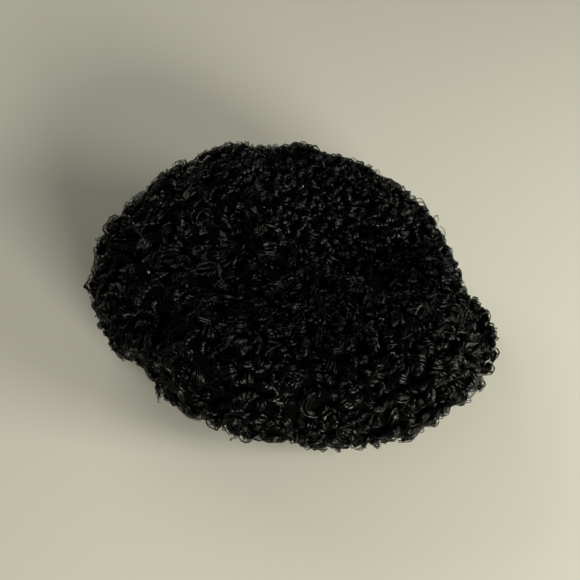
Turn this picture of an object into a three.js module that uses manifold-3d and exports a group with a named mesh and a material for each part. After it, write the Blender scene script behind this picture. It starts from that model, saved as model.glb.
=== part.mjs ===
// A soft peaked cap of black curly lamb fur, lying on its head opening.
// Millimetres, +Z up. The peak points along -Y.
// The origin is the middle of the footprint, on the surface that the hat lies on.
// Four sewn pieces: the crown, the ring under it, the head band and the peak.
// The fur is made as curled locks joined to the skin that they grow on.
import * as THREE from "three";
import { mergeVertices } from "three/addons/utils/BufferGeometryUtils.js";
import Module from "manifold-3d";

const wasm = await Module();
wasm.setup();

// Driving sizes
const HEAD_LENGTH = 200; // head opening inside the band, front to back
const HEAD_WIDTH = 164; // head opening inside the band, side to side
const HEAD_X = -8; // the crown has slumped to one side, so the opening is off the middle of the footprint
const HEAD_Y = 4;
const BAND_HEIGHT = 28;
const BAND_WALL = 2.4;
const SKIN_WALL = 3; // leather with the felted underfur
const FUR_DEPTH = 5.5; // from the skin to the tops of the locks
const SEWN_GAP = 0.4; // clearance between pieces that are sewn together
const UNDERSIDE_SEAM_HEIGHT = 22; // where the ring under the crown is sewn to the band
const ROLL_TUCK = 26; // how far the crown's roll turns in below its widest line
const HEM_CLEARANCE = 7; // the least room between the roll's lowest line and the band
const ROLL_SHOULDER = 46; // how far it turns in above that line
const SEAM_SHARE = 0.8; // of the turn below the widest line, where the crown is sewn to the ring under it
const TOP_HEIGHT = 74; // height of the sunken top at the head's centre
const PEAK_HALF_WIDTH = 80;
const PEAK_ROOT_ANGLE = 54; // degrees of the band that the peak is sewn to, each side of the front
const PEAK_EDGE_TURN = 86; // degrees of its outer edge, each side of the tip
const PEAK_CENTRE = 66; // centre of the peak's outer edge, in front of the head's centre
const PEAK_REACH = 88; // from that centre to the tip
const PEAK_WALL = 5.5;
const PEAK_ROOT_HEIGHT = 14; // top of the peak at the band
const PEAK_DROOP = 3.5; // fall from the band to the tip
const PEAK_ARCH = 4; // fall from the middle to the ends

// The crown's outer fur form, a row for each section round the hat.
// angle: 0 front, 90 wearer's left, 180 back. reach: widest line, from the head's centre. rim: its height.
// crest: top of the roll. hem: lowest line of the fur.
const CROWN_SECTIONS = [
  { angle: 0, reach: 131, rim: 40, crest: 68, hem: 20 },
  { angle: 30, reach: 138, rim: 38, crest: 75, hem: 18 },
  { angle: 60, reach: 139, rim: 37, crest: 92, hem: 6 },
  { angle: 90, reach: 139, rim: 37, crest: 104, hem: 3 },
  { angle: 120, reach: 141, rim: 37, crest: 109, hem: 3 },
  { angle: 150, reach: 147, rim: 38, crest: 101, hem: 3 },
  { angle: 180, reach: 149, rim: 42, crest: 92, hem: 3 },
  { angle: 210, reach: 134, rim: 38, crest: 88, hem: 3 },
  { angle: 240, reach: 121, rim: 37, crest: 82, hem: 3 },
  { angle: 270, reach: 122, rim: 36, crest: 78, hem: 3 },
  { angle: 300, reach: 135, rim: 31, crest: 73, hem: 3 },
  { angle: 330, reach: 147, rim: 31, crest: 69, hem: 12 },
];

// Creases where the soft roll has folded in on itself. spread: half width in degrees.
// tuck: how far the rim is drawn in. drop: how far the crest sinks. lift: how far the hem rises.
const ROLL_FOLDS = [
  { angle: 214, spread: 8, tuck: 12, drop: 8, lift: 11 },
  { angle: 187, spread: 9, tuck: 4, drop: 9, lift: 2 },
  { angle: 24, spread: 12, tuck: 4, drop: 3, lift: 0 },
  { angle: 318, spread: 10, tuck: 3, drop: 4, lift: 2 },
  { angle: 104, spread: 10, tuck: 2, drop: 5, lift: 2 },
];

// Hollows in the sunken top, in plan from the head's centre.
const TOP_DENTS = [
  { x: 24, y: -52, radius: 46, depth: 15 },
  { x: -44, y: 40, radius: 34, depth: 8 },
];

// The curled locks. curlRadius and turn: the arc that one lies in, in degrees.
// root: how far its foot is sunk in the skin. stations: cross-sections along it.
// spacing: the room that one takes in its row. rows: how many there are from the crown's seam to its middle.
const LOCK = { curlRadius: 9.5, turn: 215, halfWidth: 6, root: 1.2, stations: 4, spacing: 34, rows: 5 };
const ROUND_STEPS = 48; // faces round the hat
const ARC_STEPS = { underside: 3, lowerRoll: 3, upperRoll: 5, top: 6 };

const TURN = Math.PI * 2;
const radians = THREE.MathUtils.degToRad;
const smoothstep = THREE.MathUtils.smoothstep;

// Repeatable scatter, so that every lock differs and every run agrees
let scatterState = 20;
function scatter(low, high) {
  scatterState = (scatterState * 16807) % 2147483647;
  return low + ((high - low) * scatterState) / 2147483647;
}

// A column of the section table at any angle, on a smooth closed curve through its rows.
function column(name) {
  const rows = CROWN_SECTIONS.map((row) => new THREE.Vector3(row[name], 0, 0));
  const curve = new THREE.CatmullRomCurve3(rows, true, "catmullrom");
  return (angle) => curve.getPoint(THREE.MathUtils.euclideanModulo(angle / TURN, 1)).x;
}
const reachAt = column("reach");
const rimAt = column("rim");
const crestAt = column("crest");
const hemAt = column("hem");

// How much of the folds' tuck, drop or lift is felt at an angle.
function foldAt(angle, amount) {
  return ROLL_FOLDS.reduce((sum, fold) => {
    const halfTurnOn = angle - radians(fold.angle) + Math.PI;
    const away = THREE.MathUtils.euclideanModulo(halfTurnOn, TURN) - Math.PI;
    return sum + fold[amount] * Math.exp(-((away / radians(fold.spread)) ** 2));
  }, 0);
}

function dentAt(x, y) {
  return TOP_DENTS.reduce((sum, dent) => {
    const away = Math.hypot(x - dent.x, y - dent.y) / dent.radius;
    return sum + dent.depth * Math.exp(-(away ** 2));
  }, 0);
}

// Reach of the head band's outer face, which is an ellipse.
function bandReach(angle) {
  const halfLength = HEAD_LENGTH / 2 + BAND_WALL;
  const halfWidth = HEAD_WIDTH / 2 + BAND_WALL;
  return 1 / Math.hypot(Math.cos(angle) / halfLength, Math.sin(angle) / halfWidth);
}

// A point from its angle, reach and height.
function pointAt(angle, reach, height) {
  return new THREE.Vector3(reach * Math.sin(angle), -reach * Math.cos(angle), height);
}

// The fur form in section at one angle: from the band, under the roll, over it and in to the centre.
// The last point of the underside and the first of the crown are a seam's gap apart.
function furForm(angle) {
  const rim = rimAt(angle);
  const reach = reachAt(angle) - foldAt(angle, "tuck");
  const crest = crestAt(angle) - foldAt(angle, "drop");
  const hem = hemAt(angle) + foldAt(angle, "lift");
  const tuck = Math.min(ROLL_TUCK, reach - bandReach(angle) - HEM_CLEARANCE);
  const lowerRoll = (share) => {
    const turn = (share * Math.PI) / 2;
    return new THREE.Vector2(reach - tuck * (1 - Math.cos(turn)), rim - (rim - hem) * Math.sin(turn));
  };
  const upperRoll = (share) => {
    const turn = (share * Math.PI) / 2;
    const height = rim + (crest - rim) * Math.sin(turn);
    return new THREE.Vector2(reach - ROLL_SHOULDER * (1 - Math.cos(turn)), height);
  };
  const gapShare = SEWN_GAP / (tuck + rim - hem);
  const bandEdge = new THREE.Vector2(bandReach(angle) + SEWN_GAP, UNDERSIDE_SEAM_HEIGHT - FUR_DEPTH);
  const hemPoint = lowerRoll(1);
  const underside = [];
  for (let i = 0; i < ARC_STEPS.underside; i++) {
    underside.push(bandEdge.clone().lerp(hemPoint, i / ARC_STEPS.underside));
  }
  underside.push(hemPoint, lowerRoll(SEAM_SHARE + 2 * gapShare));

  const crown = [];
  for (let i = 0; i < ARC_STEPS.lowerRoll; i++) {
    crown.push(lowerRoll(SEAM_SHARE * (1 - i / ARC_STEPS.lowerRoll)));
  }
  for (let i = 0; i < ARC_STEPS.upperRoll; i++) {
    crown.push(upperRoll(i / ARC_STEPS.upperRoll));
  }
  const crestReach = reach - ROLL_SHOULDER;
  for (let i = 0; i <= ARC_STEPS.top; i++) {
    const share = 1 - i / ARC_STEPS.top;
    const place = pointAt(angle, crestReach * share, 0);
    const sunk = TOP_HEIGHT + (crest - TOP_HEIGHT) * smoothstep(share, 0, 1) - dentAt(place.x, place.y);
    crown.push(new THREE.Vector2(crestReach * share, sunk));
  }
  return { underside, crown };
}

// A section moved in from the fur form by a distance: along its own normals,
// but straight up where it is the underside's flat part and straight down at the hat's axis.
// The two points at the seam share one normal, so that its gap keeps its width.
function inset(path, seam, distance) {
  return path.map((point, i) => {
    if (i < ARC_STEPS.underside) return new THREE.Vector2(point.x, point.y + distance);
    if (point.x === 0) return new THREE.Vector2(0, point.y - distance);
    const before = path[i === seam ? i - 2 : i - 1];
    const after = path[i === seam - 1 ? i + 2 : i + 1];
    const along = after.clone().sub(before).normalize();
    return point.clone().add(new THREE.Vector2(-along.y, along.x).multiplyScalar(distance));
  });
}

// The skin's outer and inner sections of both sewn pieces at one angle.
function skinSections(angle) {
  const form = furForm(angle);
  const seam = form.underside.length;
  const whole = [...form.underside, ...form.crown];
  const outer = inset(whole, seam, FUR_DEPTH);
  const inner = inset(whole, seam, FUR_DEPTH + SKIN_WALL);
  return {
    underside: { outer: outer.slice(0, seam), inner: inner.slice(0, seam) },
    crown: { outer: outer.slice(seam), inner: inner.slice(seam) },
  };
}

// A closed geometry from its vertices and triangles.
function geometryFrom(vertices, triangles) {
  const geometry = new THREE.BufferGeometry();
  const coordinates = vertices.flatMap((vertex) => vertex.toArray());
  geometry.setAttribute("position", new THREE.Float32BufferAttribute(coordinates, 3));
  geometry.setIndex(triangles);
  return geometry;
}

// A body round the head's centre from a closed section at each angle, given as reach and height.
// A section that starts and ends on the axis closes there, and any other closes on itself.
function roundBody(sectionAt) {
  const vertices = [];
  const sections = [];
  for (let step = 0; step < ROUND_STEPS; step++) {
    const angle = (step / ROUND_STEPS) * TURN;
    sections.push(sectionAt(angle).map((p) => vertices.push(pointAt(angle, p.x, p.y)) - 1));
  }
  const onAxis = sectionAt(0)[0].x === 0;
  const size = sections[0].length;
  const triangles = [];
  for (let step = 0; step < ROUND_STEPS; step++) {
    const here = sections[step];
    const next = sections[(step + 1) % ROUND_STEPS];
    for (let i = 0; i < (onAxis ? size - 1 : size); i++) {
      const j = (i + 1) % size;
      if (!onAxis || i !== 0) triangles.push(here[i], next[i], here[j]);
      if (!onAxis || j !== size - 1) triangles.push(here[j], next[i], next[j]);
    }
  }
  return mergeVertices(geometryFrom(vertices, triangles), 1e-4);
}

// A geometry as a solid that can be joined, and back.
function solidOf(geometry) {
  const merged = mergeVertices(geometry, 1e-4);
  return new wasm.Manifold(
    new wasm.Mesh({
      numProp: 3,
      vertProperties: new Float32Array(merged.attributes.position.array),
      triVerts: new Uint32Array(merged.index.array),
    }),
  );
}
function geometryOf(solid) {
  const mesh = solid.getMesh();
  const geometry = new THREE.BufferGeometry();
  geometry.setAttribute("position", new THREE.BufferAttribute(mesh.vertProperties, 3));
  geometry.setIndex(new THREE.BufferAttribute(mesh.triVerts, 1));
  return geometry;
}

// One curled lock laid on a surface, which gives the place and normal at x along and y across from its root.
// It swells from its root, lies round an arc and thins to its tip. Its foot is sunk in the skin all the way.
function lockOn(surface, scale) {
  const vertices = [];
  const sides = 3;
  const spin = scatter(0, TURN);
  const hand = scatter(0, 1) < 0.5 ? 1 : -1;
  for (let s = 0; s < LOCK.stations; s++) {
    const share = s / (LOCK.stations - 1);
    const bend = spin + hand * radians(LOCK.turn) * share;
    const swell = 0.4 + 0.6 * Math.sin(Math.PI * (0.12 + 0.76 * share) ** 0.8);
    const middle = LOCK.curlRadius * scale * (1 - 0.35 * share);
    const halfWidth = LOCK.halfWidth * scale * swell;
    const section = [
      [middle + halfWidth, -LOCK.root],
      [middle + halfWidth * 0.2, FUR_DEPTH * swell],
      [middle - halfWidth, -LOCK.root],
    ];
    for (const [out, height] of section) {
      const { place, normal } = surface(out * Math.cos(bend), out * Math.sin(bend));
      vertices.push(place.addScaledVector(normal, height));
    }
  }
  const triangles = [];
  const corner = (s, k) => s * sides + (k % sides);
  const face = (a, b, c) => (hand > 0 ? triangles.push(a, c, b) : triangles.push(a, b, c));
  for (let k = 0; k < sides; k++) {
    for (let s = 0; s + 1 < LOCK.stations; s++) {
      face(corner(s, k), corner(s, k + 1), corner(s + 1, k));
      face(corner(s, k + 1), corner(s + 1, k + 1), corner(s + 1, k));
    }
  }
  const last = LOCK.stations - 1;
  face(corner(0, 0), corner(0, 2), corner(0, 1));
  face(corner(last, 0), corner(last, 1), corner(last, 2));
  return solidOf(geometryFrom(vertices, triangles));
}

// The crown's skin at an angle and a share of its section, from the lower seam at 0 to the hat's axis at 1.
function crownSkin(angle, share) {
  const line = skinSections(angle).crown.outer;
  const steps = line.slice(1).map((point, i) => point.distanceTo(line[i]));
  const length = steps.reduce((sum, step) => sum + step, 0);
  let left = share * length;
  let i = 0;
  while (i + 1 < steps.length && left > steps[i]) {
    left -= steps[i];
    i += 1;
  }
  const tangent = line[i + 1].clone().sub(line[i]).normalize();
  const at = line[i].clone().addScaledVector(tangent, left);
  const place = pointAt(angle, at.x, at.y);
  const normal = pointAt(angle, tangent.y, -tangent.x);
  return { place, normal, reach: at.x, length };
}

// Locks all over the crown's skin, in rows from its lower seam to the middle of the top.
function crownLocks() {
  const locks = [];
  const seamMargin = 0.6; // of a row, so that the lowest locks stay clear of the underside
  for (let row = 0; row < LOCK.rows; row++) {
    const rowShare = (row + seamMargin) / (LOCK.rows + seamMargin);
    const count = Math.round((TURN * crownSkin(radians(90), rowShare).reach) / LOCK.spacing);
    for (let i = 0; i < count; i++) {
      const angle = ((i + (row % 2) / 2 + scatter(-0.2, 0.2)) / count) * TURN;
      const share = rowShare + scatter(-0.015, 0.015);
      const { reach, length } = crownSkin(angle, share);
      const surface = (along, across) => crownSkin(angle - across / reach, share + along / length);
      locks.push(lockOn(surface, scatter(0.88, 1.12)));
    }
  }
  return locks;
}

function makeCrown() {
  const skin = roundBody((angle) => {
    const { outer, inner } = skinSections(angle).crown;
    return [...inner.reverse(), ...outer];
  });
  return geometryOf(wasm.Manifold.union([solidOf(skin), ...crownLocks()]));
}

function makeUnderside() {
  return roundBody((angle) => {
    const { outer, inner } = skinSections(angle).underside;
    return [...inner.reverse(), ...outer];
  });
}

function makeHeadBand() {
  return roundBody((angle) => {
    const outside = bandReach(angle);
    const corner = (reach, height) => new THREE.Vector2(reach, height);
    return [
      corner(outside - BAND_WALL, BAND_HEIGHT),
      corner(outside - BAND_WALL, 0),
      corner(outside, 0),
      corner(outside, BAND_HEIGHT),
    ];
  });
}

// The peak's top face: across from -1 to 1 between its ends, out from 0 at the band to 1 at the edge.
function peakTop(across, out) {
  const rootAngle = across * radians(PEAK_ROOT_ANGLE);
  const root = pointAt(rootAngle, bandReach(rootAngle) + SEWN_GAP, 0);
  const edgeTurn = across * radians(PEAK_EDGE_TURN);
  const edge = new THREE.Vector3(
    PEAK_HALF_WIDTH * Math.sin(edgeTurn),
    -PEAK_CENTRE - PEAK_REACH * Math.cos(edgeTurn),
    0,
  );
  const place = root.lerp(edge, out);
  place.z = PEAK_ROOT_HEIGHT - PEAK_DROOP * out * out - PEAK_ARCH * across * across;
  return place;
}

function makePeak() {
  const acrossSteps = 20;
  const outSteps = 4;
  const half = PEAK_WALL / 2;
  const lipTurns = [0.5, 0, -0.5]; // the lip's round, in half turns from its middle
  const vertices = [];
  const sections = [];
  for (let i = 0; i <= acrossSteps; i++) {
    const across = (i / acrossSteps) * 2 - 1;
    const top = [];
    for (let k = 0; k < outSteps; k++) top.push(peakTop(across, k / outSteps));
    const edge = peakTop(across, 1);
    const outward = edge.clone().sub(peakTop(across, 0.8)).setZ(0).normalize();
    const lip = lipTurns.map((turn) =>
      edge
        .clone()
        .addScaledVector(outward, half * (Math.cos(turn * Math.PI) - 1))
        .add(new THREE.Vector3(0, 0, half * (Math.sin(turn * Math.PI) - 1))),
    );
    const under = top.map((p) => p.clone().setZ(p.z - PEAK_WALL)).reverse();
    sections.push([...top, ...lip, ...under].map((p) => vertices.push(p) - 1));
  }
  const triangles = [];
  const size = sections[0].length;
  for (let i = 0; i < acrossSteps; i++) {
    for (let k = 0; k < size; k++) {
      const [a, b] = [sections[i][k], sections[i][(k + 1) % size]];
      const [c, d] = [sections[i + 1][k], sections[i + 1][(k + 1) % size]];
      triangles.push(a, b, c, b, d, c);
    }
  }
  for (let k = 1; k + 1 < size; k++) {
    const [first, last] = [sections[0], sections[acrossSteps]];
    triangles.push(first[0], first[k + 1], first[k]);
    triangles.push(last[0], last[k], last[k + 1]);
  }
  const plate = solidOf(geometryFrom(vertices, triangles));
  return geometryOf(wasm.Manifold.union([plate, ...peakLocks()]));
}

// Two rows of smaller locks on the part of the peak that shows beyond the crown.
function peakLocks() {
  const locks = [];
  const normal = new THREE.Vector3(0, 0, 1);
  const depth = PEAK_CENTRE + PEAK_REACH - HEAD_LENGTH / 2;
  const rows = [
    { out: 0.78, count: 6, span: 0.66, scale: 0.72 },
    { out: 0.42, count: 5, span: 0.6, scale: 0.68 },
  ];
  for (const row of rows) {
    for (let i = 0; i < row.count; i++) {
      const across = ((i / (row.count - 1)) * 2 - 1) * row.span;
      const surface = (along, sideways) => {
        const place = peakTop(across + sideways / PEAK_HALF_WIDTH, row.out + along / depth);
        return { place, normal };
      };
      locks.push(lockOn(surface, row.scale * scatter(0.92, 1.08)));
    }
  }
  return locks;
}

// Assembly
const hat = new THREE.Group();
hat.position.set(HEAD_X, HEAD_Y, 0);

function addPiece(name, geometry, color, roughness) {
  const piece = new THREE.Mesh(geometry, new THREE.MeshStandardMaterial({ color, roughness, metalness: 0 }));
  piece.name = name;
  hat.add(piece);
}

addPiece("head_band", makeHeadBand(), 0x121214, 0.6);
addPiece("crown_underside", makeUnderside(), 0x0c0c0d, 0.7);
addPiece("crown", makeCrown(), 0x0b0b0c, 0.55);
addPiece("peak", makePeak(), 0x0b0b0c, 0.55);

export default hat;
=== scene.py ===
# %% [markdown]
# A soft peaked cap of black curly lamb fur, lying on its head opening.
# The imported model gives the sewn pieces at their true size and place: the crown, the ring under it, the
# head band and the peak. This lesson dresses them: smooth skins first, then thousands of hairs in curled
# locks, a ribbed band, and last the finishes, the light and the camera.

# %% Load the frame
import math

import bmesh
import bpy
import numpy as np
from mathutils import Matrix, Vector, bvhtree, geometry, kdtree, noise


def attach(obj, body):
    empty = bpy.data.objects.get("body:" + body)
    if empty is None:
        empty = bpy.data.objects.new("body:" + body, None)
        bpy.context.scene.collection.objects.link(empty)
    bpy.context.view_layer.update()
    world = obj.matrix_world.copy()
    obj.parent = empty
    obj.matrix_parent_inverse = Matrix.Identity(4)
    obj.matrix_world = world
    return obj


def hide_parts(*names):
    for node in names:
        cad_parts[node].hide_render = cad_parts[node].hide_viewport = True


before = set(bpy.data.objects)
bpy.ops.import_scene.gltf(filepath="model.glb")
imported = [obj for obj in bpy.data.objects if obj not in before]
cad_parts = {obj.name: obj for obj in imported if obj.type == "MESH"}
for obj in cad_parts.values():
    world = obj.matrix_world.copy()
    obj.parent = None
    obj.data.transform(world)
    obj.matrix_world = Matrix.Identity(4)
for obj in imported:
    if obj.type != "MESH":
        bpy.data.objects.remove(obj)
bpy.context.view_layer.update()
crown_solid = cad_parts["crown"]
underside_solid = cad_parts["crown_underside"]
peak_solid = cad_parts["peak"]

# %% [markdown]
# Operators act on whatever is selected, and the frame arrives selected, so working by hand needs a few
# habits: start from nothing selected, pick the parts of a mesh by their place, and apply each modifier at
# once, so that the next step sees the real mesh. Each habit is a helper that the pieces below share.

# %% Habits of working by hand
MM = 0.001


def start_clean():
    bpy.ops.object.select_all(action="DESELECT")


def take(piece):
    start_clean()
    piece.select_set(True)
    bpy.context.view_layer.objects.active = piece


def edit(piece):
    """Opens a piece in edit mode with nothing selected, and gives its mesh."""
    take(piece)
    bpy.ops.object.mode_set(mode="EDIT")
    bpy.ops.mesh.select_all(action="DESELECT")
    return bmesh.from_edit_mesh(piece.data)


def leave_edit():
    bpy.ops.object.mode_set(mode="OBJECT")


def name_new(name):
    piece = bpy.context.active_object
    piece.name = name
    piece.data.name = name
    return piece


def place_in_mesh(piece):
    """Moves the object's own place, turn and scale into its mesh."""
    take(piece)
    bpy.ops.object.transform_apply(location=True, rotation=True, scale=True)


def finish_with(piece, kind, **settings):
    take(piece)
    modifier = piece.modifiers.new(kind.title(), kind)
    for key, value in settings.items():
        setattr(modifier, key, value)
    bpy.ops.object.modifier_apply(modifier=modifier.name)


print(len(bpy.context.selected_objects), "objects are selected after loading")

# %% [markdown]
# The crown is one soft bag of skin, slumped to one side with its middle fallen in. It could be sculpted
# freely, but it has to keep the form of the crown in the frame. So a ball is set round that crown, its
# lower half is deleted, and every vertex is sent towards the ball's middle until it meets the solid.
# Shrinkwrap does nearly this, along the vertex normals. But the order of a mesh's faces, and with it the
# last digits of its normals, may differ from run to run, which would deal out every lock of the fur anew.
# So each vertex follows a ray of its own, and faces are put in order before they are used.
# Just under the seam a ray meets nothing: there the vertex climbs to the seam, and the ones below it go.

# %% The crown's skin
HEAD_MIDDLE = Vector((-8 * MM, 4 * MM, 0))
CROWN_MIDDLE = Vector((0, 9 * MM, -4 * MM))
WRAP_RADIUS = 220 * MM
WRAP_RINGS = 120
WRAP_SEGMENTS = 112
HEM_STEPS = 15


def triangles_of(piece):
    """A mesh's triangles as rows of vertex numbers, in an order that is the same each run."""
    triangles = []
    for face in piece.data.polygons:
        corners = list(face.vertices)
        first = corners.index(min(corners))
        a, *others = corners[first:] + corners[:first]
        triangles += [(a, b, c) for b, c in zip(others, others[1:])]
    return sorted(triangles)


def faces_of(piece, least_up=-2):
    """A search tree of the faces that look up more than this, for rays and nearest points."""
    places = [vertex.co for vertex in piece.data.vertices]
    faces = triangles_of(piece)
    ups = [geometry.normal([places[corner] for corner in face]).z for face in faces]
    return bvhtree.BVHTree.FromPolygons(places, [face for face, up in zip(faces, ups) if up > least_up])


def met_by_ray(tree, start):
    """Where the ray from this start meets the crown, or where the first one above it within a ring does."""
    away = start - CROWN_MIDDLE
    level = Vector((away.x, away.y, 0)).normalized()
    slope = math.asin(min(1, away.z / WRAP_RADIUS))
    for step in range(HEM_STEPS):
        raised = slope + step * math.pi / WRAP_RINGS / HEM_STEPS
        ray = level * math.cos(raised) + Vector((0, 0, math.sin(raised)))
        place = tree.ray_cast(CROWN_MIDDLE + ray * WRAP_RADIUS, -ray, WRAP_RADIUS)[0]
        if place:
            return place
    return None


start_clean()
bpy.ops.mesh.primitive_uv_sphere_add(
    segments=WRAP_SEGMENTS, ring_count=WRAP_RINGS, radius=WRAP_RADIUS, location=CROWN_MIDDLE
)
crown_skin = name_new("crown_skin")
place_in_mesh(crown_skin)
crown_faces = faces_of(crown_solid)
for vertex in edit(crown_skin).verts:
    place = met_by_ray(crown_faces, vertex.co) if vertex.co.z > CROWN_MIDDLE.z - 1 * MM else None
    vertex.co = place or vertex.co
    vertex.select_set(place is None)
bpy.ops.mesh.delete(type="VERT")
leave_edit()
print("crown skin", len(crown_skin.data.polygons), "faces")

# %% [markdown]
# The solid's ridges and facets still show in the skin. Smoothing takes them out, but it would also pull
# the open hem away from its seam, so a vertex group leaves the hem out. Then a Displace modifier with a
# cloud texture gives the skin the soft lumps of a fur that was sewn from many small pieces.

# %% Smooth and lumpy
LUMP_SIZE = 22 * MM
LUMP_HEIGHT = 7 * MM


def smooth_inside_hem(piece, rounds):
    """Smooths a skin but leaves its open edges where they are."""
    edit(piece)
    bpy.ops.mesh.select_mode(type="VERT")
    bpy.ops.mesh.select_non_manifold()
    bpy.ops.mesh.select_all(action="INVERT")
    bpy.ops.object.vertex_group_add()
    bpy.ops.object.vertex_group_assign()
    leave_edit()
    finish_with(piece, "SMOOTH", factor=0.5, iterations=rounds, vertex_group=piece.vertex_groups[0].name)
    piece.vertex_groups.clear()


smooth_inside_hem(crown_skin, 12)
lumps = bpy.data.textures.new("lumps", "CLOUDS")
lumps.noise_scale = LUMP_SIZE
lumps.cloud_type = "COLOR"
finish_with(
    crown_skin,
    "DISPLACE",
    texture=lumps,
    texture_coords="LOCAL",
    direction="RGB_TO_XYZ",
    strength=LUMP_HEIGHT,
)
heights = [vertex.co.z for vertex in crown_skin.data.vertices]
print("crown skin from", round(min(heights) / MM, 1), "to", round(max(heights) / MM, 1), "mm high")

# %% [markdown]
# Under the roll the crown is sewn to a ring of the same fur that runs in to the head band. Seen from the
# table it is a flat ring that dips to the hem and turns up to the seam. A circle is scaled to the band's
# oval and extruded outwards loop by loop. Each spoke is then stretched to the solid's outer edge and
# lifted onto it, so that the ring ends cleanly on the seam.

# %% The ring under the crown
BAND_HALF_LENGTH = 102.4 * MM
BAND_HALF_WIDTH = 84.4 * MM
RING_SPOKES = 144
RING_LOOPS = 12
RING_START = 1.014
RING_GROWTH = 0.04
EDGE_STEP = 0.003


def oval(reach, bearing):
    """A place at table height, by its reach in the band's own oval and its bearing from the front."""
    across = math.sin(bearing) * reach * BAND_HALF_WIDTH
    return HEAD_MIDDLE + Vector((across, -math.cos(bearing) * reach * BAND_HALF_LENGTH, 0))


def oval_reach(places):
    """How far places lie from the middle of the head, as a share of the band's oval."""
    away = np.asarray(places)[..., :2] - np.array(HEAD_MIDDLE)[:2]
    return np.hypot(away[..., 0] / BAND_HALF_WIDTH, away[..., 1] / BAND_HALF_LENGTH)


def lifted(tree, reach, bearing):
    """Where a ray straight up from the table meets the ring, if it does."""
    return tree.ray_cast(oval(reach, bearing), Vector((0, 0, 1)))[0]


start_clean()
bpy.ops.mesh.primitive_circle_add(vertices=RING_SPOKES, radius=RING_START, location=HEAD_MIDDLE)
ring_skin = name_new("underside_skin")
bpy.ops.object.mode_set(mode="EDIT")
bpy.ops.mesh.select_all(action="SELECT")
bpy.ops.transform.resize(value=(BAND_HALF_WIDTH, BAND_HALF_LENGTH, 1))
for loop in range(RING_LOOPS):
    wider = (1 + (loop + 1) * RING_GROWTH) / (1 + loop * RING_GROWTH)
    bpy.ops.mesh.extrude_edges_move()
    bpy.ops.transform.resize(value=(wider, wider, 1))
leave_edit()
place_in_mesh(ring_skin)
underside_faces = faces_of(underside_solid)
for vertex in edit(ring_skin).verts:
    away = vertex.co - HEAD_MIDDLE
    bearing = math.atan2(away.x / BAND_HALF_WIDTH, -away.y / BAND_HALF_LENGTH)
    share = (oval_reach(vertex.co) / RING_START - 1) / (RING_GROWTH * RING_LOOPS)
    edge = RING_START
    while lifted(underside_faces, edge + EDGE_STEP, bearing):
        edge += EDGE_STEP
    vertex.co = lifted(underside_faces, RING_START + (edge - RING_START) * share, bearing)
leave_edit()
print("underside skin", len(ring_skin.data.polygons), "faces")

# %% [markdown]
# Two pieces that are only laid edge to edge show a gap from a low side. A sewer leaves a seam allowance,
# a strip beyond the seam that is turned inside. The ring gets one too: its outer edges are picked by their
# place, extruded, and moved up behind the crown's hem.

# %% The seam allowance
SEAM_ALLOWANCE = 8 * MM
OUTER_EDGE_REACH = 1.1

mesh = edit(ring_skin)
bpy.ops.mesh.select_mode(type="EDGE")
for rim in mesh.edges:
    if rim.is_boundary and min(oval_reach(end.co) for end in rim.verts) > OUTER_EDGE_REACH:
        rim.select_set(True)
bpy.ops.mesh.extrude_edges_move()
bpy.ops.transform.translate(value=(0, 0, SEAM_ALLOWANCE))
bpy.ops.mesh.select_all(action="SELECT")
bpy.ops.mesh.normals_make_consistent(inside=False)
if sum(face.normal.z for face in bmesh.from_edit_mesh(ring_skin.data).faces) > 0:
    bpy.ops.mesh.flip_normals()
leave_edit()
smooth_inside_hem(ring_skin, 4)
down = sum(face.normal.z < 0 for face in ring_skin.data.polygons)
print(down, "of the ring's", len(ring_skin.data.polygons), "faces look down at the table")

# %% [markdown]
# The peak is a stiffened crescent, furred on top and plainly faced below. Its solid has hard facets and
# ridged locks. It could be drawn anew, but a copy keeps its form: a voxel remesh gives the copy even faces,
# and smoothing softens them as stuffing does. The copy comes as loose triangles, so it is merged first,
# and it is drawn in a little towards the crown, which leaves room for the fur round its rim.

# %% The peak's skin
PEAK_ROOT = -88 * MM
PEAK_VOXEL = 1.6 * MM
PEAK_DRAWN_IN = 0.94

peak_skin = bpy.data.objects.new("peak_skin", peak_solid.data.copy())
bpy.context.scene.collection.objects.link(peak_skin)
edit(peak_skin)
bpy.ops.mesh.select_all(action="SELECT")
bpy.ops.mesh.remove_doubles(threshold=0.01 * MM)
leave_edit()
finish_with(peak_skin, "REMESH", mode="VOXEL", voxel_size=PEAK_VOXEL)
finish_with(peak_skin, "SMOOTH", factor=0.5, iterations=8)
edit(peak_skin)
bpy.ops.mesh.select_all(action="SELECT")
bpy.ops.transform.resize(value=(1, PEAK_DRAWN_IN, 1), center_override=(HEAD_MIDDLE.x, PEAK_ROOT, 0))
leave_edit()
print("peak skin", len(peak_skin.data.polygons), "faces")

# %% [markdown]
# The head band is a ribbon sewn into an oval. A strip could be bent round, but an open cylinder that is
# scaled to the oval in edit mode is already closed and carries a UV map that runs round with the ribbon.
# Solidify gives it the ribbon's thickness, and a small bevel rounds the folded edges.

# %% The head band
BAND_HEIGHT = 28 * MM
BAND_WALL = 2.4 * MM
BAND_FACES = 160

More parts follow.
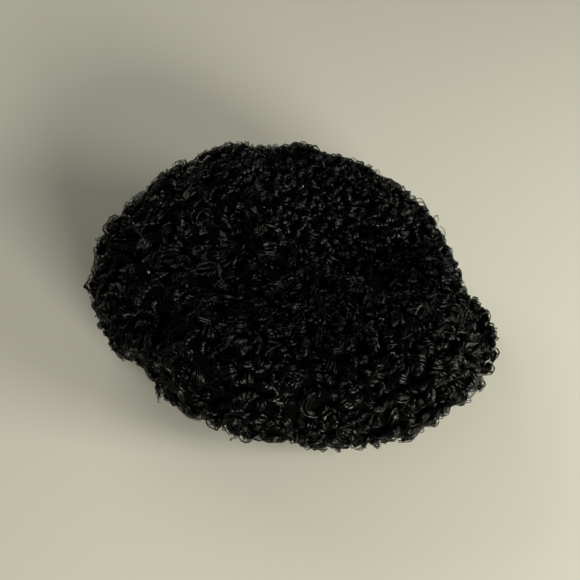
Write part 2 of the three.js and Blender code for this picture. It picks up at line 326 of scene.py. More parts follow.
start_clean()
bpy.ops.mesh.primitive_cylinder_add(
    vertices=BAND_FACES,
    radius=1,
    depth=BAND_HEIGHT,
    end_fill_type="NOTHING",
    location=(HEAD_MIDDLE.x, HEAD_MIDDLE.y, BAND_HEIGHT / 2),
)
band = name_new("band_ribbon")
bpy.ops.object.mode_set(mode="EDIT")
bpy.ops.mesh.select_all(action="SELECT")
bpy.ops.transform.resize(value=(BAND_HALF_WIDTH - BAND_WALL / 2, BAND_HALF_LENGTH - BAND_WALL / 2, 1))
leave_edit()
place_in_mesh(band)
finish_with(band, "SOLIDIFY", thickness=BAND_WALL, offset=0)
finish_with(band, "BEVEL", width=0.7 * MM, segments=3, limit_method="ANGLE", angle_limit=math.radians(60))
take(band)
bpy.ops.object.shade_smooth_by_angle(angle=math.radians(40))
print("band", len(band.data.polygons), "faces")

# %% [markdown]
# Fur is a repeat of one thing, a hair. A particle system could grow it, but its hairs are no meshes, and
# a model that is to be kept needs meshes, so the hairs are worked out in arrays. First each lock gets a
# root on the skin: points are strewn evenly by area, then thinned until no two are closer than a lock.

# %% Where the locks grow
SEED = 20

rng = np.random.default_rng(SEED)
noise.seed_set(SEED)


def unit(vectors):
    return vectors / np.maximum(np.linalg.norm(vectors, axis=-1, keepdims=True), 1e-9)


def strewn(piece, count):
    """Points strewn evenly over a mesh, with the surface's normals."""
    corners = np.array(triangles_of(piece))
    places = np.array([vertex.co for vertex in piece.data.vertices], dtype=float)
    a, b, c = (places[corners[:, k]] for k in range(3))
    facing = np.cross(b - a, c - a)
    normals = np.zeros_like(places)
    for k in range(3):
        np.add.at(normals, corners[:, k], facing)
    area = np.linalg.norm(facing, axis=1)
    picked = corners[rng.choice(len(area), count, p=area / area.sum())]
    u, v = rng.random((2, count, 1))
    flip = u + v > 1
    u, v = np.where(flip, 1 - u, u), np.where(flip, 1 - v, v)
    weights = np.stack([1 - u - v, u, v], axis=1)
    points = np.sum(places[picked] * weights, axis=1)
    return points, unit(np.sum(unit(normals)[picked] * weights, axis=1))


def spread_out(points, spacing):
    """Indices of points, none closer to another than its own spacing."""
    tree = kdtree.KDTree(len(points))
    for i, point in enumerate(points):
        tree.insert(point, i)
    tree.balance()
    free = np.ones(len(points), dtype=bool)
    kept = []
    for i, point in enumerate(points):
        if free[i]:
            kept.append(i)
            for _, j, _ in tree.find_range(point, spacing[i]):
                free[j] = False
    return np.array(kept)


CROWN_POINTS = 30000

crown_points, crown_normals = strewn(crown_skin, CROWN_POINTS)
print(len(crown_points), "points strewn over the crown")

# %% [markdown]
# The curls are not of one size. Large loose ones lie on the back of the crown and small tight ones round
# the front, and everywhere they come in clumps. One size for all would look like a carpet. A short table by
# bearing, from the front round over the wearer's left, gives width and height, and a slow noise the clumps.
# In the sunken middle the curls are pressed flatter.

# %% Sizes of the crown's curls
CURLS_BY_BEARING = [
    {"bearing": 0, "width": 0.8, "height": 0.65},
    {"bearing": 18, "width": 0.8, "height": 0.9},
    {"bearing": 40, "width": 0.85, "height": 1.1},
    {"bearing": 60, "width": 0.85, "height": 1.0},
    {"bearing": 80, "width": 0.9, "height": 0.9},
    {"bearing": 95, "width": 0.95, "height": 1.1},
    {"bearing": 115, "width": 1.0, "height": 1.25},
    {"bearing": 125, "width": 1.0, "height": 1.15},
    {"bearing": 140, "width": 1.05, "height": 0.85},
    {"bearing": 165, "width": 1.15, "height": 0.85},
    {"bearing": 181, "width": 1.15, "height": 1.2},
    {"bearing": 200, "width": 1.15, "height": 0.65},
    {"bearing": 220, "width": 1.15, "height": 0.55},
    {"bearing": 240, "width": 1.1, "height": 0.8},
    {"bearing": 258, "width": 1.05, "height": 1.2},
    {"bearing": 270, "width": 1.0, "height": 0.7},
    {"bearing": 280, "width": 0.95, "height": 1.0},
    {"bearing": 291, "width": 0.95, "height": 0.75},
    {"bearing": 305, "width": 0.9, "height": 1.1},
    {"bearing": 322, "width": 0.85, "height": 1.7},
    {"bearing": 335, "width": 0.85, "height": 1.55},
    {"bearing": 348, "width": 0.8, "height": 0.7},
]
CROWN_SPACING = 6.5 * MM
CLUMP_SIZE = 16 * MM


def curl_sizes(points):
    away = points - np.array(HEAD_MIDDLE)
    bearing = np.degrees(np.arctan2(away[:, 0], -away[:, 1]))
    rows = [(row["bearing"], row["width"], row["height"]) for row in CURLS_BY_BEARING]
    bearings, widths, heights = zip(*rows)
    clumps = 1 + 0.3 * np.array([noise.noise(Vector(point) / CLUMP_SIZE) for point in points])
    width = clumps * np.interp(bearing, bearings, widths, period=360)
    height = clumps * np.interp(bearing, bearings, heights, period=360)
    sunk = np.interp(points[:, 2], [46 * MM, 62 * MM], [0.55, 1])
    return width, height * np.where(oval_reach(points) < 1, sunk, 1)


crown_widths, crown_heights = curl_sizes(crown_points)
kept = spread_out(crown_points, CROWN_SPACING * crown_widths)
crown_points, crown_normals = crown_points[kept], crown_normals[kept]
crown_widths, crown_heights = crown_widths[kept], crown_heights[kept]
print(len(kept), "locks on the crown, about", crown_widths.mean().round(2), "wide on average")

# %% [markdown]
# Neighbouring locks of fur lie roughly the same way, and over a hand's width the way swirls round. With
# the mouse, a combing brush would do this. Here a slow noise field, flattened onto the skin, gives each
# lock its way, with a chance turn of its own. Each also gets axes: ahead, across and up, tipped a little.

# %% Which way the locks lie
STRAY = math.radians(34)
CROWN_SWIRL = 40 * MM


def combed(points, normals, swirl):
    """A combing direction at each point, along the skin: a slow swirl, with each lock a little astray."""
    elsewhere = Vector((7, 3, 5))
    places = [Vector(point) for point in points]
    slow = np.array([noise.noise_vector(place / swirl) for place in places])
    quick = np.array([noise.noise_vector(place / (swirl * 0.45) + elsewhere) for place in places])
    flow = slow + 0.5 * quick
    flow = unit(flow - normals * np.sum(flow * normals, axis=1, keepdims=True))
    turn = rng.normal(0, STRAY, (len(points), 1))
    return flow * np.cos(turn) + np.cross(normals, flow) * np.sin(turn)


def tipped(normals, comb, tip):
    """The locks' own axes: along the combing, across it and up, each tipped a little by chance."""
    lean = rng.normal(0, tip, (len(normals), 1))
    roll = rng.normal(0, tip, (len(normals), 1))
    up = unit(normals + np.tan(lean) * comb + np.tan(roll) * np.cross(normals, comb))
    ahead = unit(comb - up * np.sum(comb * up, axis=1, keepdims=True))
    return ahead, np.cross(up, ahead), up


crown_comb = combed(crown_points, crown_normals, CROWN_SWIRL)
print("the crown's fur is combed on average towards", crown_comb.mean(axis=0).round(2))

# %% [markdown]
# A lock is not an even brush. Its hairs stick together in strands with dark gaps between them, and each
# strand goes a little its own way. So hairs come in pairs, and their chance swerves are mostly a pair's.

# %% Hairs in strands
HAIRS_IN_STRAND = 2


def spread_hairs(locks, hairs):
    """Places of the hairs from -1 to 1 across each lock, strand by strand."""
    strands = hairs // HAIRS_IN_STRAND
    middles = np.linspace(-1, 1, strands) + rng.normal(0, 0.5 / strands, (locks, strands))
    beside = np.linspace(-0.35, 0.35, HAIRS_IN_STRAND) / strands
    return np.clip(middles[:, :, None] + beside, -1.1, 1.1).reshape(locks, hairs)


def swerves(locks, hairs):
    """A chance swerve for each hair, nearly the same for the hairs of a strand."""
    shared = rng.normal(0, 1, (locks, hairs // HAIRS_IN_STRAND))
    return np.repeat(shared, HAIRS_IN_STRAND, axis=1) + rng.normal(0, 0.25, (locks, hairs))


print("hairs of one lock lie at", spread_hairs(1, 8).round(2))

# %% [markdown]
# Lamb fur curls in two ways. In a rolled curl the hairs lie side by side over a bent ridge, each wound
# round it like a spring. A curve with a bevel could follow each hair, but thousands of them are slow. A
# rolled curl is a family of arcs, so a few numbers for each lock and a swerve for each hair give all paths.
# The hairs alone would be a thin net, because a real lock has thousands. So each lock also has a core, a
# fat tube just under its hairs, which stands for the wool packed inside it.

# %% Rolled curls
HAIR_STATIONS = 7
CORE_STATIONS = 6
ROOT_DEPTH = 1.2 * MM


def ridge(half, bend, v):
    """A bent ridge, v from -1 to 1 along it: how far across and ahead of its middle, and its turn there."""
    turn = bend * v
    return half * np.sin(turn) / bend, half * (1 - np.cos(turn)) / bend, turn


def rolled_curls(points, normals, comb, hairs, widths, heights):
    """Hair paths wound over bent ridges, with the direction that each arc turns about, and the cores."""
    locks = len(points)
    wide, high = widths[:, None] * MM, heights[:, None] * MM
    along = np.linspace(0, 1, HAIR_STATIONS)
    v = spread_hairs(locks, hairs)
    frizz = rng.uniform(0.3, 1.1, (locks, 1))
    half = wide * rng.uniform(4.2, 8.0, (locks, 1))
    bend = rng.uniform(0.25, 1.2, (locks, 1)) * rng.choice([-1, 1], (locks, 1))
    fatness = high * rng.uniform(3.4, 5.6, (locks, 1))
    sideways, forward, angle = ridge(half, bend, v)
    radius = fatness * (1 - 0.38 * v**2) * (1 + 0.14 * frizz * swerves(locks, hairs))
    turn = np.radians(rng.uniform(175, 300, (locks, 1)) + 26 * frizz * swerves(locks, hairs))
    start = np.radians(196 + 12 * frizz * swerves(locks, hairs))
    bow = start[..., None] - turn[..., None] * along
    reach = radius[..., None] * (1 - 0.36 * along)
    ahead = reach * np.cos(bow)
    height = radius[..., None] * 0.72 + reach * np.sin(bow)
    height[..., 0] = -ROOT_DEPTH
    ahead[..., 0] *= 0.7
    slant = half * rng.uniform(-1.1, 1.1, (locks, 1)) + 1.2 * wide * frizz * swerves(locks, hairs)
    drift = slant[..., None] * along - 0.3 * sideways[..., None] * along**2
    axes = tipped(normals, comb, 0.22)
    t, b, n = (axis[:, None, :] for axis in axes)
    c, s = np.cos(angle)[..., None], np.sin(angle)[..., None]
    onward, across = c * t - s * b, c * b + s * t
    middle = points[:, None, :] + sideways[..., None] * b + forward[..., None] * t
    paths = (
        middle[:, :, None, :]
        + ahead[..., None] * onward[:, :, None, :]
        + height[..., None] * n[:, :, None, :]
        + drift[..., None] * across[:, :, None, :]
    )

    v = np.linspace(-0.95, 0.95, CORE_STATIONS)[None, :]
    sideways, forward, _ = ridge(half, bend, v)
    radius = fatness * (1 - 0.38 * v**2)
    spine = points[:, None, :] + sideways[..., None] * b + forward[..., None] * t
    spine = spine + (0.7 * radius)[..., None] * n
    girth = 0.6 * radius * np.sqrt(1 - 0.8 * v**2)
    return paths, across, (spine, axes[2], girth, girth)


sample = rolled_curls(crown_points[:9], crown_normals[:9], crown_comb[:9], 8, np.ones(9), np.ones(9))
print("paths of nine rolled curls:", sample[0].shape)

# %% [markdown]
# In a swept curl the hairs lie along the lock instead, side by side in a C on the skin, rising to a hump
# and closing towards the tip. It is again a family of arcs, flat ones this time, with a core under them.
# Both kinds in one fur give the mix of beads and combed waves that this lamb has.

# %% Swept curls
def swell(along):
    """How high a swept lock stands along its length, as a share of its peak."""
    return 0.12 + 0.88 * np.sin(np.pi * (0.06 + 0.84 * along)) ** 0.8


def swept_curls(points, normals, comb, hairs, widths, heights):
    """Hair paths laid side by side in a C along the skin, with the skin's normals, and the cores."""
    locks = len(points)
    wide, high = widths[:, None, None] * MM, heights[:, None, None] * MM
    along = np.linspace(0, 1, HAIR_STATIONS)
    v = spread_hairs(locks, hairs)[..., None]
    frizz = rng.uniform(0.3, 1.1, (locks, 1, 1))
    arc = wide * rng.uniform(4.5, 9.5, (locks, 1, 1))
    half = wide * rng.uniform(2.6, 4.8, (locks, 1, 1))
    sweep = np.radians(rng.uniform(95, 225, (locks, 1, 1)))
    hand = rng.choice([-1, 1], (locks, 1, 1))
    peak = high * rng.uniform(4.6, 8.4, (locks, 1, 1))
    turn = sweep + np.radians(18 * frizz * swerves(locks, hairs)[..., None])
    angle = turn * (along - 0.5) + 0.12 * frizz * swerves(locks, hairs)[..., None]
    reach = arc * (1 - 0.3 * along) + half * v * (1 - 0.65 * along**2)
    reach = reach + 0.7 * wide * frizz * swerves(locks, hairs)[..., None] * along
    ahead = reach * np.cos(angle) - arc
    sideways = hand * reach * np.sin(angle)
    height = peak * swell(along) * (1 - 0.5 * v**2) * (1 + 0.16 * frizz * swerves(locks, hairs)[..., None])
    height[..., 0] = -ROOT_DEPTH
    axes = tipped(normals, comb, 0.16)
    t, b, n = (axis[:, None, None, :] for axis in axes)
    paths = points[:, None, None, :] + ahead[..., None] * t + sideways[..., None] * b
    paths = paths + height[..., None] * n
    facing = np.repeat(normals[:, None, :], hairs, axis=1)

    along = np.linspace(0, 1, CORE_STATIONS)
    reach = arc * (1 - 0.3 * along)
    angle = sweep * (along - 0.5)
    ahead = (reach * np.cos(angle) - arc)[:, 0, :, None]
    sideways = (hand * reach * np.sin(angle))[:, 0, :, None]
    thick = (0.38 * peak * swell(along))[:, 0, :]
    broad = (0.72 * half * (1 - 0.65 * along**2))[:, 0, :]
    t, b, n = (axis[:, None, :] for axis in axes)
    spine = points[:, None, :] + ahead * t + sideways * b + thick[..., None] * n
    return paths, facing, (spine, axes[2], thick, broad)


sample = swept_curls(crown_points[:9], crown_normals[:9], crown_comb[:9], 8, np.ones(9), np.ones(9))
print("paths of nine swept curls:", sample[0].shape)

# %% [markdown]
# Arcs know nothing of the skin, and where it is hollow some of them would dive through it. Real hairs lie
# on it. So each point of a path is held against the nearest place on the skin, and lifted if it is too low.
# Roots may lie a little under the skin, but must not come out inside. Near the head band, points are also
# moved out, clear of the ribbon.

# %% Clear of the skin and the band
DEEPEST = 9 * MM
BAND_CLEAR = 1.03
HAIR_CLEAR = 0.4 * MM


def clear_of(paths, tree, least):
    """Paths with their points at least this high above a skin, and their roots not far under it."""
    lifts = np.zeros_like(paths)
    for spot in np.ndindex(paths.shape[:-1]):
        point = Vector(paths[spot])
        place, normal, _, _ = tree.find_nearest(point)
        lowest = least if spot[-1] > 0 else -ROOT_DEPTH
        lift = lowest - (point - place).dot(normal)
        if 0 < lift < DEEPEST:
            lifts[spot] = normal * lift
    paths = paths + lifts
    reach = oval_reach(paths)
    beside = (paths[..., 2] < BAND_HEIGHT) & (reach < BAND_CLEAR)
    outwards = np.where(beside, BAND_CLEAR / np.maximum(reach, 0.5), 1)[..., None]
    middle = np.array(HEAD_MIDDLE)[:2]
    paths[..., :2] = middle + (paths[..., :2] - middle) * outwards
    return paths


held = clear_of(sample[0], faces_of(crown_skin), HAIR_CLEAR)
print(int(np.any(held != sample[0], axis=-1).sum()), "points of the nine curls were lifted")

# %% [markdown]
# A path becomes a thin tube that is closed at its root and comes to a point. Three sides are enough for a
# hair, because smooth shading rounds them, and five for a core. All tubes of a panel are one mesh, which
# Blender takes in at once. Each tube also carries a tone of its own, which the finish reads.

# %% Tubes as a mesh
HAIR_SIDES = 3
CORE_SIDES = 5


def tube_mesh(name, paths, facing, thick, wide, sides, tones):
    """One piece made of a tube for each path, thick towards its facing and wide across it."""
    count, stations, _ = paths.shape
    tangent = unit(np.gradient(paths, axis=1))
    out = facing[:, None, :] - tangent * np.sum(facing[:, None, :] * tangent, axis=2, keepdims=True)
    out = unit(out)
    side = np.cross(tangent, out)
    ring = (np.arange(sides) * 2 * np.pi / sides)[:, None]
    spokes = (out * thick[..., None])[:, :, None, :] * np.cos(ring)
    spokes = spokes + (side * wide[..., None])[:, :, None, :] * np.sin(ring)
    body = (paths[:, :, None, :] + spokes)[:, :-1]
    per_tube = (stations - 1) * sides + 1
    places = np.concatenate([body.reshape(count, -1, 3), paths[:, -1:, :]], axis=1).reshape(-1, 3)
    places[:, 2] = np.maximum(places[:, 2], 0.5 * MM)

    here = np.arange(sides)
    beside = (here + 1) % sides
    rows = np.arange(stations - 2)[:, None] * sides
    quads = np.stack([rows + here, rows + beside, rows + sides + beside, rows + sides + here], axis=-1)
    last = (stations - 2) * sides
    tips = np.stack([last + here, last + beside, np.full(sides, per_tube - 1)], axis=-1)
    starts = np.arange(count) * per_tube
    quads = (starts[:, None, None] + quads.reshape(1, -1, 4)).reshape(-1, 4)
    tips = (starts[:, None, None] + tips[None]).reshape(-1, 3)
    roots = starts[:, None] + here[::-1]

    mesh = bpy.data.meshes.new(name)
    mesh.from_pydata(places, [], quads.tolist() + tips.tolist() + roots.tolist())
    mesh.polygons.foreach_set("use_smooth", np.ones(len(mesh.polygons), dtype=bool))
    tone = mesh.attributes.new("hair_tone", "FLOAT", "POINT")
    tone.data.foreach_set("value", np.repeat(tones, per_tube))
    piece = bpy.data.objects.new(name, mesh)
    bpy.context.scene.collection.objects.link(piece)
    mesh.calc_loop_triangles()
    print(name, count, "tubes,", len(mesh.loop_triangles), "triangles")
    return piece


# %% [markdown]
# Even in a smooth curl the strands are crimped, with waves of less than a millimetre. They break the long
# shine of a curl into short glints. The waves are drawn lock by lock, so that the hairs of a lock stay
# side by side. With them a panel of fur can be put together: part rolled and part swept curls.

# %% Putting fur together
HAIR_TAPER = np.interp(np.linspace(0, 1, HAIR_STATIONS), [0, 0.35, 0.8, 1], [0.85, 1, 0.6, 0.2])
CORE_CLEAR = 1.2 * MM


def crimped(paths):
    """Paths with small waves, nearly the same for all the hairs of a lock."""
    locks, hairs, stations, _ = paths.shape
    strands = hairs // HAIRS_IN_STRAND
    waves = rng.normal(0, 0.4 * MM, (locks, 1, stations, 3))
    of_strand = rng.normal(0, 0.22 * MM, (locks, strands, stations, 3))
    waves = waves + np.repeat(of_strand, HAIRS_IN_STRAND, axis=1)
    waves = waves + rng.normal(0, 0.07 * MM, paths.shape)
    waves[:, :, 0] = 0
    return paths + waves


def fur(name, skin, points, normals, comb, widths, heights, hairs, swept_share):
    """A piece of hairs, part rolled curls and part swept ones, and the cores under them."""
    swept = rng.random(len(points)) < swept_share
    paths, facing, cores = [], [], []
    for kind, make in ((~swept, rolled_curls), (swept, swept_curls)):
        made = make(points[kind], normals[kind], comb[kind], hairs, widths[kind], heights[kind])
        paths.append(clear_of(crimped(made[0]), skin, HAIR_CLEAR).reshape(-1, HAIR_STATIONS, 3))
        facing.append(made[1].reshape(-1, 3))
        spine, up, thick, broad = made[2]
        wound = np.full(kind.sum(), make is rolled_curls)
        cores.append((clear_of(spine, skin, CORE_CLEAR), up, thick, broad, wound))
    paths, facing = np.concatenate(paths), np.concatenate(facing)
    tones = 0.5 * rng.random((len(points), 1)) + 0.5 * rng.random((len(points), hairs))
    girth = rng.uniform(0.2, 0.34, (len(paths), 1)) * MM * HAIR_TAPER
    return tube_mesh(name, paths, facing, girth, girth, HAIR_SIDES, tones.ravel()), cores


def underfur(name, cores):
    """One piece of all the cores under some fur, each with the places of its strands as an attribute."""
    paths, facing, thick, broad, wound = (np.concatenate(parts) for parts in zip(*cores))
    piece = tube_mesh(name, paths, facing, thick, broad, CORE_SIDES, rng.random(len(paths)))
    steps = np.linalg.norm(np.diff(paths, axis=1), axis=2)
    length = np.cumsum(steps, axis=1) - steps[:, :1]
    turn = np.arange(CORE_SIDES) * 2 * np.pi / CORE_SIDES
    girth = np.minimum(turn, 2 * np.pi - turn) * broad.mean(axis=1)[:, None]
    along = np.repeat(length[:, :, None], CORE_SIDES, axis=2).reshape(len(paths), -1)
    around = np.repeat(girth[:, None, :], CORE_STATIONS - 1, axis=1).reshape(len(paths), -1)
    along = np.concatenate([along, along[:, -1:]], axis=1)
    around = np.concatenate([around, around[:, :1]], axis=1)
    across = np.where(wound[:, None], along, around)
    onward = np.where(wound[:, None], around, along)
    own = np.repeat(rng.random((len(paths), 1)), across.shape[1], axis=1)
    strand = piece.data.attributes.new("strand", "FLOAT_VECTOR", "POINT")
    strand.data.foreach_set("vector", np.stack([across, onward, own], axis=-1).ravel())
    return piece


print("a hair's girth from root to tip, as shares:", HAIR_TAPER.round(2))

# %% [markdown]
# The crown's fur is made in six panels, like slices of a cake. One mesh for all of it would be too heavy to
# open and to export. No seam shows between panels, because locks reach over the cuts as they do elsewhere.

# %% Fur on the crown
CROWN_PANELS = 6
CROWN_HAIRS = 14
CROWN_SWEPT_SHARE = 0.55

crown_tree = faces_of(crown_skin)
bearing = np.arctan2(crown_points[:, 0] - HEAD_MIDDLE.x, -(crown_points[:, 1] - HEAD_MIDDLE.y))
panel = np.floor((bearing + np.pi) / (2 * np.pi / CROWN_PANELS)).astype(int)
crown_fur, crown_cores = [], []
for number in range(CROWN_PANELS):
    here = panel == number
    every = crown_points, crown_normals, crown_comb, crown_widths, crown_heights
    roots = [values[here] for values in every]
    piece, cores = fur(f"crown_fur_{number + 1}", crown_tree, *roots, CROWN_HAIRS, CROWN_SWEPT_SHARE)
    crown_fur.append(piece)
    crown_cores += cores
crown_underfur = underfur("crown_underfur", crown_cores)

# %% [markdown]
# The ring under the crown is of the same fur, but it faces the table and is hardly seen. Short, smaller
# curls with fewer hairs are enough. They grow only where the ring looks down, and not close to the band,
# where the fur of a real ring is clipped for the seam.

# %% Fur on the ring
RING_POINTS = 6000
RING_FUR_START = 1.06
RING_MOST_UP = -0.3
RING_SPACING = 7.5 * MM
RING_CURL_SIZE = 0.75
RING_HAIRS = 8
LOW_SWEPT_SHARE = 0.6

ring_points, ring_normals = strewn(ring_skin, RING_POINTS)
furred = (ring_normals[:, 2] < RING_MOST_UP) & (oval_reach(ring_points) > RING_FUR_START)
ring_points, ring_normals = ring_points[furred], ring_normals[furred]
kept = spread_out(ring_points, np.full(len(ring_points), RING_SPACING))
ring_points, ring_normals = ring_points[kept], ring_normals[kept]
ring_comb = combed(ring_points, ring_normals, CROWN_SWIRL)
ring_sizes = np.full(len(kept), RING_CURL_SIZE)
ring_roots = ring_points, ring_normals, ring_comb, ring_sizes, ring_sizes
ring_fur, ring_cores = fur("underside_fur", faces_of(ring_skin), *ring_roots, RING_HAIRS, LOW_SWEPT_SHARE)
ring_underfur = underfur("underside_underfur", ring_cores)

# %% [markdown]
# On the peak the curls are largest at the near end and small at the far one. Close to the crown they lie
# low, which leaves the dark groove in which the peak is sewn on. The underside stays bare, as a plain
# facing. The peak is thin, so its hairs are held against its upper side only, or some would come out below.

# %% Fur on the peak
PEAK_POINTS = 12000
PEAK_LEAST_UP = -0.2
PEAK_FUR_START = -92 * MM
PEAK_SPACING = 6.5 * MM
PEAK_SWIRL = 30 * MM
PEAK_HAIRS = 10

peak_points, peak_normals = strewn(peak_skin, PEAK_POINTS)
furred = (peak_normals[:, 2] > PEAK_LEAST_UP) & (peak_points[:, 1] < PEAK_FUR_START)
peak_points, peak_normals = peak_points[furred], peak_normals[furred]
peak_sizes = np.interp(peak_points[:, 0], [-62 * MM, -40 * MM, 0, 40 * MM], [1.6, 1.1, 0.9, 0.45])
peak_heights = peak_sizes * np.interp(oval_reach(peak_points), [1.25, 1.33, 1.4], [0.25, 0.35, 1.05])
kept = spread_out(peak_points, PEAK_SPACING * peak_sizes)
peak_points, peak_normals = peak_points[kept], peak_normals[kept]
peak_comb = combed(peak_points, peak_normals, PEAK_SWIRL)
peak_roots = peak_points, peak_normals, peak_comb, peak_sizes[kept], peak_heights[kept]
peak_top = faces_of(peak_skin, PEAK_LEAST_UP)
peak_fur, peak_cores = fur("peak_fur", peak_top, *peak_roots, PEAK_HAIRS, LOW_SWEPT_SHARE)
peak_underfur = underfur("peak_underfur", peak_cores)

# %% [markdown]
# The skins get their thickness last. Solidify builds it inwards from the face that the roots were strewn
# on, so the fur stays rooted, and the hollow for the head keeps a closed inner wall.

# %% Thickness of the skins
CROWN_THICKNESS = 2.6 * MM
RING_THICKNESS = 2.4 * MM

finish_with(crown_skin, "SOLIDIFY", thickness=CROWN_THICKNESS, offset=-1)
finish_with(ring_skin, "SOLIDIFY", thickness=RING_THICKNESS, offset=-1)
for piece in (crown_skin, ring_skin, peak_skin):
    take(piece)
    bpy.ops.object.shade_smooth()
    print(piece.name, len(piece.data.polygons), "faces")

# %% [markdown]
# The fur is deep black, and all its life is in the shine. A hair is smooth, so its highlight is sharp and
# thin. The base is almost black, a little lighter and greener from hair to hair by the tone that each tube
# carries, because wool is never dyed quite evenly. An attribute does this with no pattern to slide about.

# %% Glossy black hair


def new_finish(name, roughness, specular, colour):
    material = bpy.data.materials.new(name)
    material.use_nodes = True
    shader = material.node_tree.nodes["Principled BSDF"]
    shader.inputs["Roughness"].default_value = roughness
    shader.inputs["Specular IOR Level"].default_value = specular
    shader.inputs["Base Color"].default_value = (*colour, 1)
    return material, material.node_tree.nodes, material.node_tree.links, shader


def shaded(nodes, links, shader, source, dark, light):
    """Lets a value from 0 to 1 run the base colour from a dark to a light shade."""
    shades = nodes.new("ShaderNodeValToRGB")
    shades.color_ramp.elements[0].color = (*dark, 1)
    shades.color_ramp.elements[1].color = (*light, 1)
    links.new(source, shades.inputs["Fac"])
    links.new(shades.outputs["Color"], shader.inputs["Base Color"])


HAIR_BLACK = (0.0003, 0.0004, 0.0004)
HAIR_GREY = (0.0018, 0.0026, 0.0023)

fur_finish, nodes, links, shader = new_finish("black_curly_fur", 0.1, 0.37, HAIR_BLACK)
tone = nodes.new("ShaderNodeAttribute")
tone.attribute_name = "hair_tone"
shaded(nodes, links, shader, tone.outputs["Fac"], HAIR_BLACK, HAIR_GREY)
print(fur_finish.name, "runs from", HAIR_BLACK, "to", HAIR_GREY)

# %% [markdown]
# Inside a lock the wool is packed in strands. The wool is as black as the hairs, and its finish adds
# painted
# shade: darker and duller than the hairs', for the shade deep inside a lock. The cores carry an attribute
# that says how far across and along its strands each point lies. A noise that is stretched along the
# strands and read as relief gives them a fine grain that follows every curl, which object coordinates could
# not.

# %% Packed wool under the hairs, in painted shade
GRAIN_PER_METRE = (900, 110, 90)


def relieved(nodes, links, shader, source, depth):
    """Lets a value from 0 to 1 raise the surface by up to this depth."""
    relief = nodes.new("ShaderNodeBump")
    relief.inputs["Distance"].default_value = depth
    links.new(source, relief.inputs["Height"])
    links.new(relief.outputs["Normal"], shader.inputs["Normal"])


# painted shade: the cores are darker and duller than the hairs, for the shade inside a lock
wool_painted_shade_finish, nodes, links, shader = new_finish("packed_strands_painted_shade", 0.45, 0.02, (0.0002, 0.0002, 0.0002))
place = nodes.new("ShaderNodeAttribute")
place.attribute_name = "strand"
stretch = nodes.new("ShaderNodeMapping")
stretch.inputs["Scale"].default_value = GRAIN_PER_METRE
strands = nodes.new("ShaderNodeTexNoise")
strands.inputs["Scale"].default_value = 1
strands.inputs["Detail"].default_value = 1
strands.inputs["Distortion"].default_value = 0.4
links.new(place.outputs["Vector"], stretch.inputs["Vector"])
links.new(stretch.outputs["Vector"], strands.inputs["Vector"])
relieved(nodes, links, shader, strands.outputs["Fac"], 0.9 * MM)
print(wool_painted_shade_finish.name, "has a grain of", round(1 / GRAIN_PER_METRE[0] / MM, 1), "mm across the strands")

# %% [markdown]
# Between the locks, inside the crown and under the peak the skin is felted, matt and black. A twisted noise
# in object coordinates is enough for its short matted fibres: it is fine, and it has no direction.

# %% Felted skin
FELT_PER_METRE = 700

skin_finish, nodes, links, shader = new_finish("felted_underfur", 0.6, 0.04, (0.0004, 0.0004, 0.0004))
place = nodes.new("ShaderNodeTexCoord")
felt = nodes.new("ShaderNodeTexNoise")
felt.inputs["Scale"].default_value = FELT_PER_METRE
felt.inputs["Detail"].default_value = 2
felt.inputs["Distortion"].default_value = 2.5
links.new(place.outputs["Object"], felt.inputs["Vector"])
shaded(nodes, links, shader, felt.outputs["Fac"], (0.0002, 0.0002, 0.0002), (0.0008, 0.0008, 0.0009))
relieved(nodes, links, shader, felt.outputs["Fac"], 1.2 * MM)
print(skin_finish.name, "has fibres about", round(1 / FELT_PER_METRE / MM, 1), "mm long")

# %% [markdown]
# The band is a ribbed ribbon: fine cords run across it, with painted shade a little darker in the grooves
# between them. The cylinder's own UV map runs once round the band, so a wave texture on it gives a whole
# number of ribs that closes at the seam. Object coordinates would squeeze the ribs at the oval's sides.

# %% Ribbed ribbon
RIBS_ROUND_BAND = 480
WAVE_TURNS = 20 / (2 * math.pi)

ribbon_finish, nodes, links, shader = new_finish("ribbed_ribbon", 0.5, 0.3, (0.01, 0.01, 0.011))
place = nodes.new("ShaderNodeTexCoord")
ribs = nodes.new("ShaderNodeTexWave")
ribs.bands_direction = "X"
ribs.inputs["Scale"].default_value = RIBS_ROUND_BAND / WAVE_TURNS
links.new(place.outputs["UV"], ribs.inputs["Vector"])
# painted shade: the wave that raises the cords also darkens the grooves between them
shaded(nodes, links, shader, ribs.outputs["Fac"], (0.004, 0.004, 0.0045), (0.014, 0.014, 0.016))
relieved(nodes, links, shader, ribs.outputs["Fac"], 0.4 * MM)
print(ribbon_finish.name, "has", RIBS_ROUND_BAND, "ribs round the head")

# %% [markdown]
# Every piece now gets its finish and its place in the frame's own order. The cap has no joints, so all of
# it rides on the one body. The skins and the ribbon stand for the solids, which are then hidden, and the
# hairs and cores are added to them.

# %% Onto the frame
dressed = []


def belongs(piece, finish):
    piece.data.materials.clear()
    piece.data.materials.append(finish)
    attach(piece, "root")
    dressed.append(piece.name)


for piece in (*crown_fur, ring_fur, peak_fur):
    belongs(piece, fur_finish)
for piece in (crown_underfur, ring_underfur, peak_underfur):
    belongs(piece, wool_painted_shade_finish)
for piece, node in ((crown_skin, "crown"), (ring_skin, "crown_underside"), (peak_skin, "peak")):
    belongs(piece, skin_finish)
    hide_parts(node)
belongs(band, ribbon_finish)
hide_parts("head_band")
print(len(dressed), "pieces ride on the frame")

# %% [markdown]
# Black fur is drawn by its highlights, so the light matters more than usual. A low lamp on the near side
# skims the curls and leaves the sunken middle dark. A smaller one lights the peak, a broad weak one keeps
# the far side from going black, and the pale floor throws light up at the rim. One high lamp would flatten
# it all.

# %% Floor and light
start_clean()
bpy.ops.mesh.primitive_plane_add(size=6, location=(0, 0, 0))
floor = name_new("floor")
floor_finish, nodes, links, shader = new_finish("pale_floor", 0.8, 0.1, (0.8, 0.748, 0.693))
floor.data.materials.append(floor_finish)

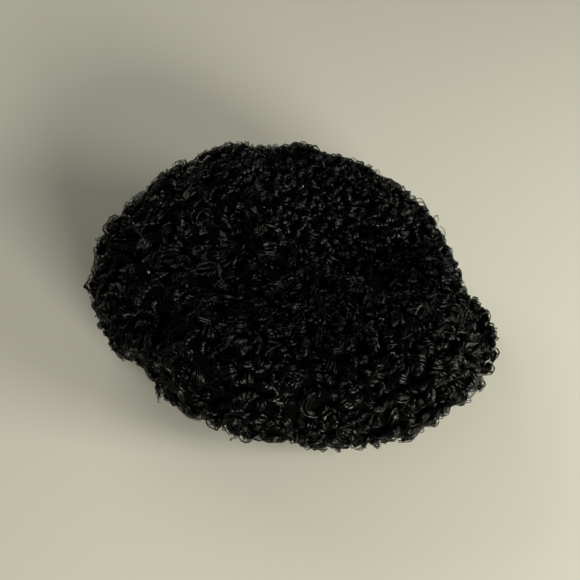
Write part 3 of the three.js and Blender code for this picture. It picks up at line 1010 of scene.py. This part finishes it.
world = bpy.data.worlds.new("studio")
world.use_nodes = True
world.node_tree.nodes["Background"].inputs["Color"].default_value = (0.97, 0.99, 0.9, 1)
world.node_tree.nodes["Background"].inputs["Strength"].default_value = 0.11
bpy.context.scene.world = world

LAMP_WHITE = (0.97, 1, 0.86)
LAMP_AIM = Vector((0, 0, 40 * MM))


def soft_light(name, direction, distance, size, power):
    start_clean()
    bpy.ops.object.light_add(type="AREA", location=LAMP_AIM + Vector(direction).normalized() * distance)
    light = bpy.context.active_object
    light.name = name
    light.data.size = size
    light.data.energy = power
    light.data.color = LAMP_WHITE
    light.rotation_euler = (LAMP_AIM - light.location).to_track_quat("-Z", "Y").to_euler()
    print(name, "at", [round(x, 2) for x in light.location], "m,", power, "W")


soft_light("key_light", direction=(-0.85, -0.5, 0.15), distance=3.2, size=1.2, power=200)
soft_light("side_light", direction=(-0.35, -1, 0.25), distance=1.4, size=0.6, power=20)
soft_light("back_light", direction=(0.8, 0.55, 0.3), distance=3, size=2, power=40)

# %% [markdown]
# The photograph looks down at the cap from its right side, with the peak at the right of the picture. The
# camera is set by azimuth, elevation and distance, which are easier to tune than a place in space.

# %% Camera
VIEW_AZIMUTH = math.radians(-86)
VIEW_ELEVATION = math.radians(42)
VIEW_DISTANCE = 0.62
VIEW_HEIGHT = 45 * MM
VIEW_LENS = 52.76

level = math.cos(VIEW_ELEVATION)
back = Vector((math.sin(VIEW_AZIMUTH) * level, -math.cos(VIEW_AZIMUTH) * level, math.sin(VIEW_ELEVATION)))
view_target = HEAD_MIDDLE + Vector((0, 0, VIEW_HEIGHT))
bpy.ops.object.camera_add(location=view_target + back * VIEW_DISTANCE)
camera = bpy.context.active_object
camera.rotation_euler = (-back).to_track_quat("-Z", "Y").to_euler()
camera.data.sensor_width = 36
camera.data.lens = VIEW_LENS
camera.data.clip_start = 0.01
bpy.context.scene.camera = camera
bpy.context.scene.view_settings.view_transform = "Standard"
bpy.context.scene.view_settings.gamma = 0.9
print("camera at", [round(x, 3) for x in camera.location])
